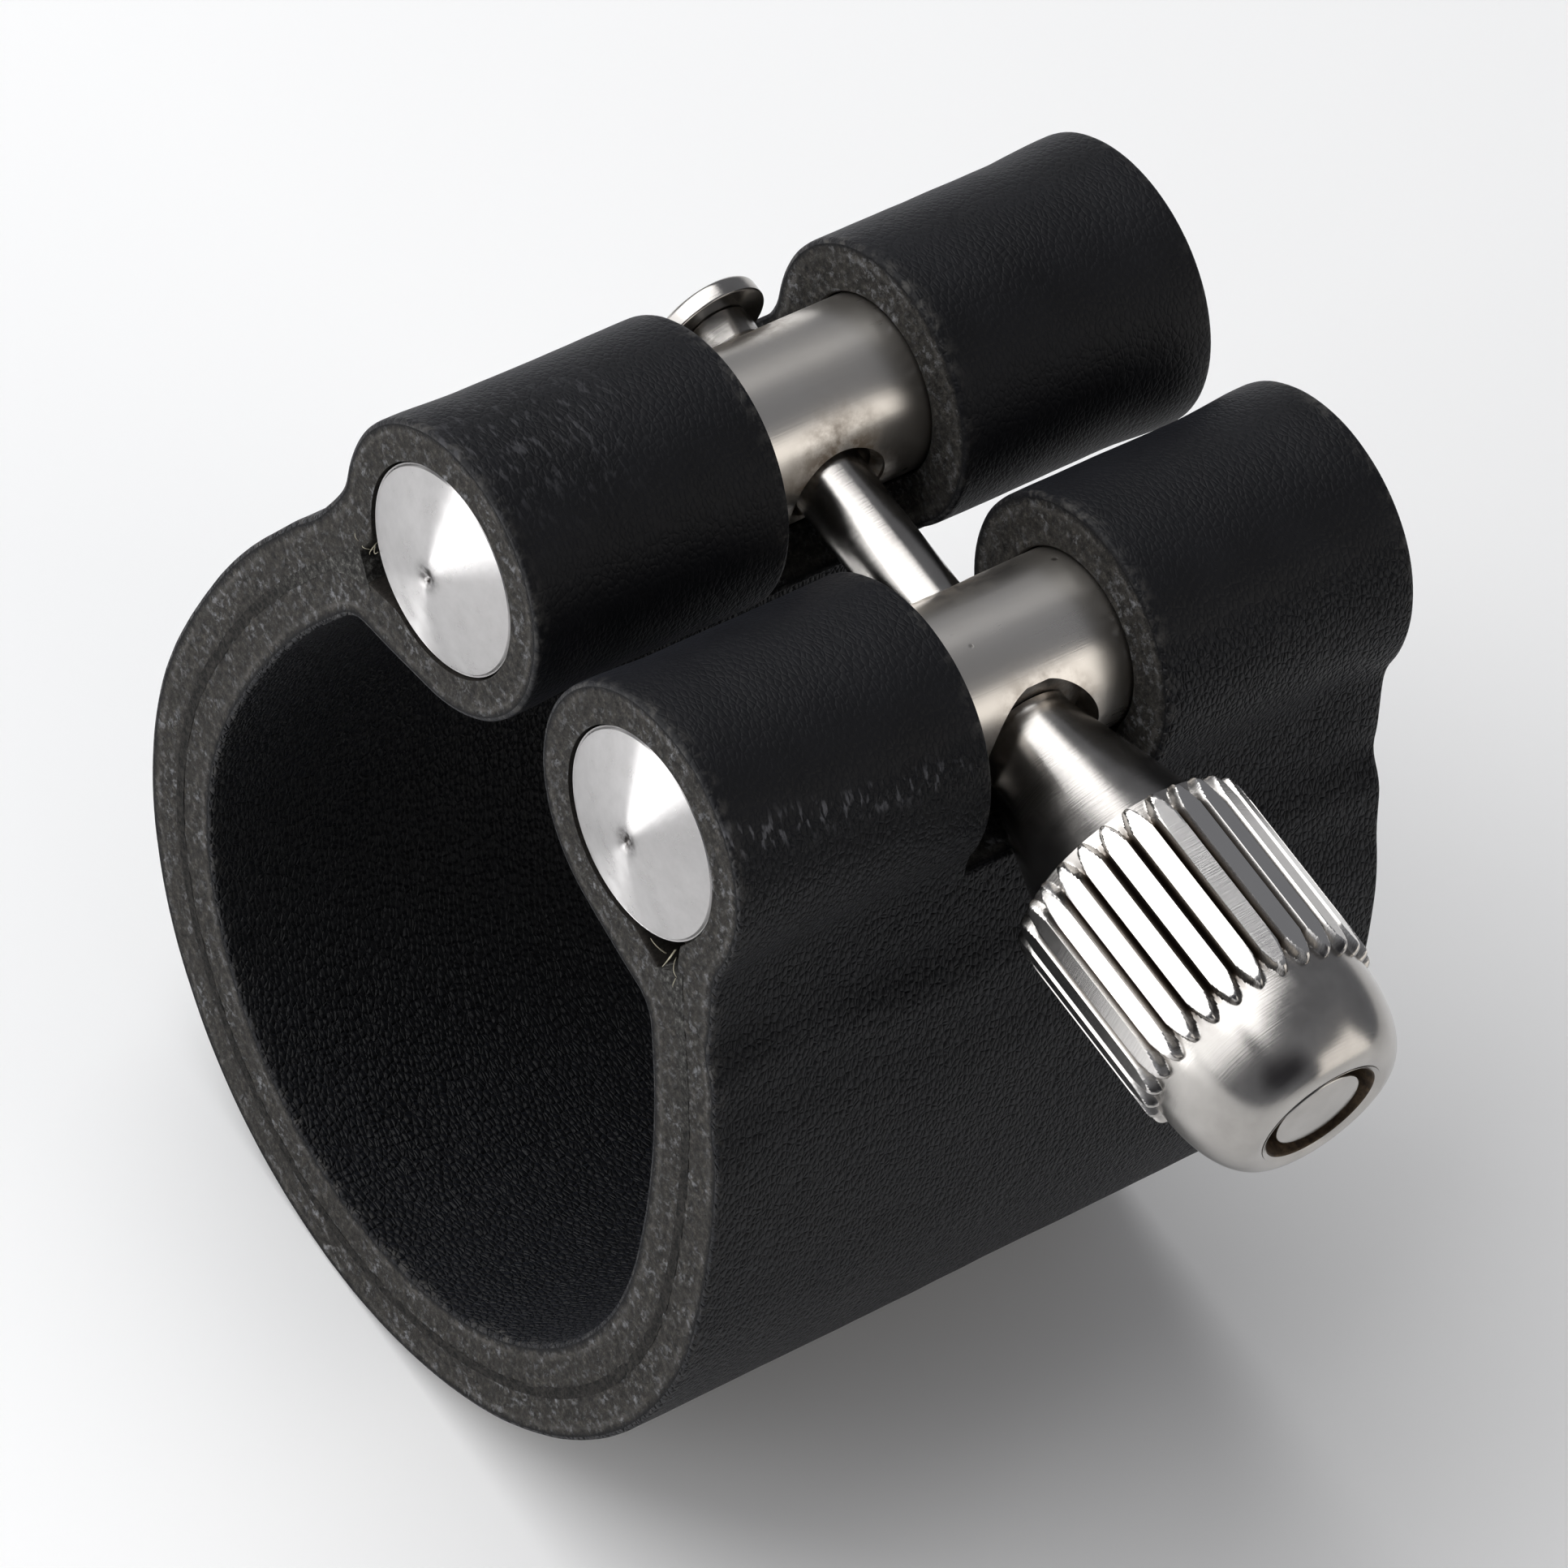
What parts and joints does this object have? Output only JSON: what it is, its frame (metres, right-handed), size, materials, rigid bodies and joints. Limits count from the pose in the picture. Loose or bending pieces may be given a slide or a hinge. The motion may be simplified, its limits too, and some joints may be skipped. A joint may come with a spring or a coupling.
{
  "type": "saxophone ligature",
  "caption": "Leather strap ligature that clamps a reed to a tenor saxophone mouthpiece: two metal rods in the strap's folds, drawn together by a knurled thumb screw.",
  "frame": {"origin": "on the strap's shank-side cut edge, in the middle of the outer ply at the saddle, straight below the bore axis and the gap between the rods; the bore axis is 12.125 mm above it", "axes": "+X along the bore towards the mouthpiece's tip, +Y away from the thumb screw's knob, +Z from the saddle through the bore axis to the two rods"},
  "size_m": [0.0238, 0.033, 0.0317],
  "materials": {
    "strap_leather": "fine-grained black leather, fibrous grey cut edges",
    "rod_metal": "satin nickel with fine scratches",
    "cap_metal": "mirror-polished nickel",
    "screw_metal": "turned and polished nickel, bright knurl"
  },
  "bodies": {
    "saddle": {"strap_saddle_outer": "strap_leather", "strap_saddle_inner": "strap_leather"},
    "near_side": {"strap_near_fold": "strap_leather"},
    "far_side": {"strap_far_fold": "strap_leather"},
    "near_rod_set": {"near_rod": "rod_metal", "near_rod_cap_shank": "cap_metal", "near_rod_cap_tip": "cap_metal"},
    "far_rod_set": {"far_rod": "rod_metal", "far_rod_cap_shank": "cap_metal", "far_rod_cap_tip": "cap_metal"},
    "thumb_screw": {"screw_knob": "screw_metal", "screw_shank": "screw_metal", "screw_tip_disc": "screw_metal"}
  },
  "joints": [
    {"name": "screw_turn", "type": "hinge", "parent": "near_rod_set", "child": "thumb_screw", "pos_m": [0.0115, -0.0047, 0.02678], "axis": [0, 1, 0], "range_deg": [-560, 480]},
    {"name": "near_flex", "type": "hinge", "parent": "saddle", "child": "near_side", "pos_m": [0.0115, -0.01071, 0.00823], "axis": [1, 0, 0], "range_deg": [-0.93, 1.09]},
    {"name": "far_flex", "type": "hinge", "parent": "saddle", "child": "far_side", "pos_m": [0.0115, 0.01071, 0.00823], "axis": [-1, 0, 0], "range_deg": [-0.93, 1.09]},
    {"name": "near_rod_roll", "type": "hinge", "parent": "near_side", "child": "near_rod_set", "pos_m": [0.0115, -0.0047, 0.02678], "axis": [-1, 0, 0], "range_deg": [-0.93, 1.09]},
    {"name": "far_rod_roll", "type": "hinge", "parent": "far_side", "child": "far_rod_set", "pos_m": [0.0115, 0.0047, 0.02678], "axis": [1, 0, 0], "range_deg": [-0.93, 1.09]}
  ],
  "couplings": [
    {"joint": "near_flex", "follows": "screw_turn", "ratio": -0.0019305},
    {"joint": "far_flex", "follows": "screw_turn", "ratio": -0.0019305},
    {"joint": "near_rod_roll", "follows": "screw_turn", "ratio": -0.0019305},
    {"joint": "far_rod_roll", "follows": "screw_turn", "ratio": -0.0019305}
  ]
}
